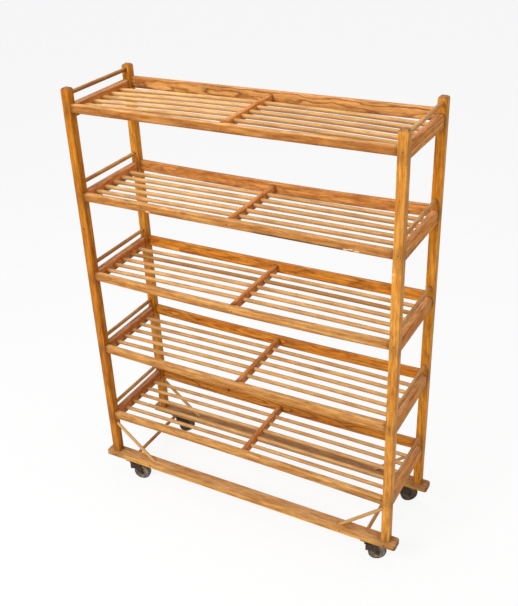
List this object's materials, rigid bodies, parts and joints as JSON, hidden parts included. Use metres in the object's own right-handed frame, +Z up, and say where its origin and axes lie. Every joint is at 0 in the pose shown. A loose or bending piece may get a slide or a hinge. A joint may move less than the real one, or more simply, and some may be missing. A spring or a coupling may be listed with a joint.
{
  "type": "bakery bread rack",
  "caption": "Tall wooden bakery bread rack: open shelves of round slats between square posts, guard rods at the shelf ends, and a braced sill base on swivel casters.",
  "frame": {"origin": "on the floor, under the middle of the rack", "axes": "+X along the shelves to the right, +Y from the front to the back, +Z up"},
  "size_m": [1.388, 0.4552, 1.7906],
  "materials": {
    "post_wood": "varnished",
    "front_rail_wood": "varnished",
    "back_rail_wood": "varnished",
    "side_rail_wood": "varnished",
    "slat_wood": "varnished",
    "rod_wood": "varnished",
    "sill_wood": "varnished",
    "caster_steel": "worn black",
    "wheel_rubber": "matt"
  },
  "bodies": {
    "frame": {"post_front_left": "post_wood", "brace_front_left": "slat_wood", "caster_plate_front_left": "caster_steel", "post_front_right": "post_wood", "brace_front_right": "slat_wood", "caster_plate_front_right": "caster_steel", "post_back_left": "post_wood", "brace_back_left": "slat_wood", "caster_plate_back_left": "caster_steel", "post_back_right": "post_wood", "brace_back_right": "slat_wood", "caster_plate_back_right": "caster_steel", "sill_front": "sill_wood", "sill_back": "sill_wood", "stretcher_left": "rod_wood", "stretcher_right": "rod_wood", "shelf1_front_rail": "front_rail_wood", "shelf1_back_rail": "back_rail_wood", "shelf1_left_rail": "side_rail_wood", "shelf1_right_rail": "side_rail_wood", "shelf1_slats": "slat_wood", "shelf1_left_rod": "rod_wood", "shelf1_right_rod": "rod_wood", "shelf2_front_rail": "front_rail_wood", "shelf2_back_rail": "back_rail_wood", "shelf2_left_rail": "side_rail_wood", "shelf2_right_rail": "side_rail_wood", "shelf2_slats": "slat_wood", "shelf2_left_rod": "rod_wood", "shelf2_right_rod": "rod_wood", "shelf3_front_rail": "front_rail_wood", "shelf3_back_rail": "back_rail_wood", "shelf3_left_rail": "side_rail_wood", "shelf3_right_rail": "side_rail_wood", "shelf3_slats": "slat_wood", "shelf3_left_rod": "rod_wood", "shelf3_right_rod": "rod_wood", "shelf4_front_rail": "front_rail_wood", "shelf4_back_rail": "back_rail_wood", "shelf4_left_rail": "side_rail_wood", "shelf4_right_rail": "side_rail_wood", "shelf4_slats": "slat_wood", "shelf4_left_rod": "rod_wood", "shelf4_right_rod": "rod_wood", "shelf5_front_rail": "front_rail_wood", "shelf5_back_rail": "back_rail_wood", "shelf5_left_rail": "side_rail_wood", "shelf5_right_rail": "side_rail_wood", "shelf5_slats": "slat_wood", "shelf5_left_rod": "rod_wood", "shelf5_right_rod": "rod_wood"},
    "caster_front_left": {"caster_fork_front_left": "caster_steel"},
    "wheel_front_left": {"caster_wheel_front_left": "wheel_rubber"},
    "caster_front_right": {"caster_fork_front_right": "caster_steel"},
    "wheel_front_right": {"caster_wheel_front_right": "wheel_rubber"},
    "caster_back_left": {"caster_fork_back_left": "caster_steel"},
    "wheel_back_left": {"caster_wheel_back_left": "wheel_rubber"},
    "caster_back_right": {"caster_fork_back_right": "caster_steel"},
    "wheel_back_right": {"caster_wheel_back_right": "wheel_rubber"}
  },
  "joints": [
    {"name": "swivel_front_left", "type": "hinge", "parent": "frame", "child": "caster_front_left", "pos_m": [-0.5555, -0.1875, 0.098], "axis": [0, 0, 1], "continuous": true},
    {"name": "roll_front_left", "type": "hinge", "parent": "caster_front_left", "child": "wheel_front_left", "pos_m": [-0.52942, -0.18051, 0.0375], "axis": [-0.2588, 0.9659, 0], "continuous": true},
    {"name": "swivel_front_right", "type": "hinge", "parent": "frame", "child": "caster_front_right", "pos_m": [0.5835, -0.1875, 0.098], "axis": [0, 0, 1], "continuous": true},
    {"name": "roll_front_right", "type": "hinge", "parent": "caster_front_right", "child": "wheel_front_right", "pos_m": [0.60688, -0.174, 0.0375], "axis": [-0.5, 0.866, 0], "continuous": true},
    {"name": "swivel_back_left", "type": "hinge", "parent": "frame", "child": "caster_back_left", "pos_m": [-0.5555, 0.1875, 0.098], "axis": [0, 0, 1], "continuous": true},
    {"name": "roll_back_left", "type": "hinge", "parent": "caster_back_left", "child": "wheel_back_left", "pos_m": [-0.53544, 0.20557, 0.0375], "axis": [-0.6691, 0.7431, 0], "continuous": true},
    {"name": "swivel_back_right", "type": "hinge", "parent": "frame", "child": "caster_back_right", "pos_m": [0.5835, 0.1875, 0.098], "axis": [0, 0, 1], "continuous": true},
    {"name": "roll_back_right", "type": "hinge", "parent": "caster_back_right", "child": "wheel_back_right", "pos_m": [0.60506, 0.20375, 0.0375], "axis": [-0.6018, 0.7986, 0], "continuous": true}
  ]
}
